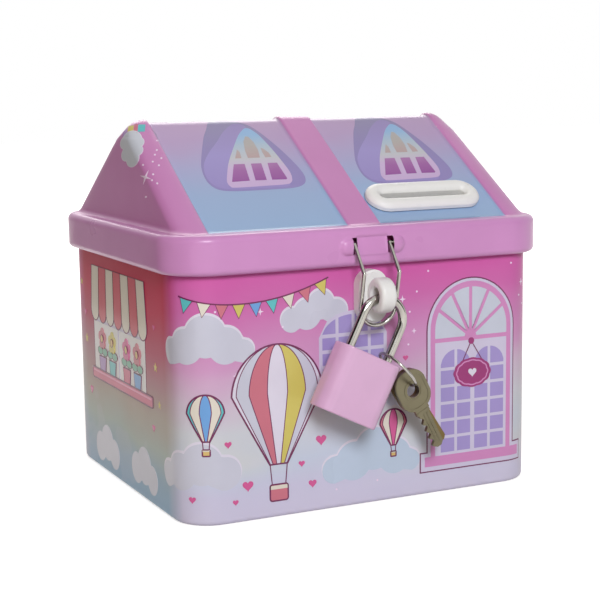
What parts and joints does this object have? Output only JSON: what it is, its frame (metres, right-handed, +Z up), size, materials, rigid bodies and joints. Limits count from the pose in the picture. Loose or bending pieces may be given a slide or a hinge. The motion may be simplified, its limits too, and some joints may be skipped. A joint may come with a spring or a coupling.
{
  "type": "tin money box",
  "caption": "House-shaped tinplate money box with a hinged roof lid, coin slot, wire hasp, staple eye and a small padlock with keys.",
  "frame": {"origin": "middle of the body's foot, on the surface the box stands on", "axes": "+X to the right as seen from the front, front towards -Y, +Z up"},
  "size_m": [0.1262, 0.1285, 0.1164],
  "materials": {
    "printed_tin_body": "gloss lithographed print over tinplate, pink above to pale blue-grey below",
    "plain_tin": "bare tinplate",
    "printed_tin_lid": "gloss lithographed print over tinplate, lilac with pink ribs",
    "white_plastic": "glossy moulded plastic",
    "hinge_steel": "nickel-plated sheet steel",
    "nickel_wire": "bright nickel plate",
    "lock_enamel": "gloss pale pink enamel",
    "lock_brass": "plain brass",
    "spring_steel": "spring wire",
    "key_nickel": "worn nickel plate"
  },
  "bodies": {
    "box": {"body_shell": "printed_tin_body", "base_plate": "plain_tin", "hinge_body_leaf": "hinge_steel", "hinge_pin": "hinge_steel", "staple_eye": "white_plastic"},
    "lid": {"roof_lid": "printed_tin_lid", "coin_slot_bezel": "white_plastic", "hinge_lid_leaf": "hinge_steel"},
    "hasp": {"hasp_wire": "nickel_wire"},
    "shackle": {"padlock_shackle": "nickel_wire"},
    "case": {"padlock_case": "lock_enamel", "latch_spring": "spring_steel", "shackle_spring": "spring_steel", "driver_pins": "lock_brass", "pin_springs": "spring_steel", "plug_retaining_pin": "spring_steel"},
    "plug": {"lock_plug": "lock_brass", "key_pins": "lock_brass"},
    "latch": {"lock_latch": "spring_steel"},
    "ring": {"key_ring": "nickel_wire"},
    "front_key": {"key_front": "key_nickel"},
    "back_key": {"key_back": "key_nickel"}
  },
  "joints": [
    {"name": "lid_hinge", "type": "hinge", "parent": "box", "child": "lid", "pos_m": [0, 0.05775, 0.0736], "axis": [-1, 0, 0], "range_deg": [0, 105]},
    {"name": "hasp_swing", "type": "hinge", "parent": "lid", "child": "hasp", "pos_m": [-0.0008, -0.0558, 0.0799], "axis": [-1, 0, 0], "range_deg": [0, 104]},
    {"name": "padlock_swing", "type": "hinge", "parent": "box", "child": "shackle", "pos_m": [-0.0008, -0.0618, 0.0645], "axis": [-1, 0, 0], "range_deg": [-3, 80]},
    {"name": "case_drop", "type": "slide", "parent": "shackle", "child": "case", "axis": [-0.4462, 0, -0.8949], "range_m": [0, 0.0068]},
    {"name": "plug_turn", "type": "hinge", "parent": "case", "child": "plug", "pos_m": [-0.00999, -0.0618, 0.03926], "axis": [0.4462, 0, 0.8949], "range_deg": [0, 90]},
    {"name": "latch_slide", "type": "slide", "parent": "case", "child": "latch", "axis": [0.8949, 0, -0.4462], "range_m": [0, 0.00113]},
    {"name": "key_ring_swing", "type": "hinge", "parent": "shackle", "child": "ring", "pos_m": [-0.00025, -0.0618, 0.04782], "axis": [0, -1, 0], "range_deg": [0, 60]},
    {"name": "key_front_swing", "type": "hinge", "parent": "ring", "child": "front_key", "pos_m": [0.0088, -0.0618, 0.0374], "axis": [0, -1, 0], "range_deg": [-45, 60]},
    {"name": "key_back_swing", "type": "hinge", "parent": "ring", "child": "back_key", "pos_m": [0.0088, -0.0618, 0.0374], "axis": [0, -1, 0], "range_deg": [-45, 55]}
  ],
  "couplings": [
    {"joint": "plug_turn", "follows": "case_drop", "rad_per_m": 231},
    {"joint": "latch_slide", "follows": "case_drop", "ratio": 0.16637}
  ]
}
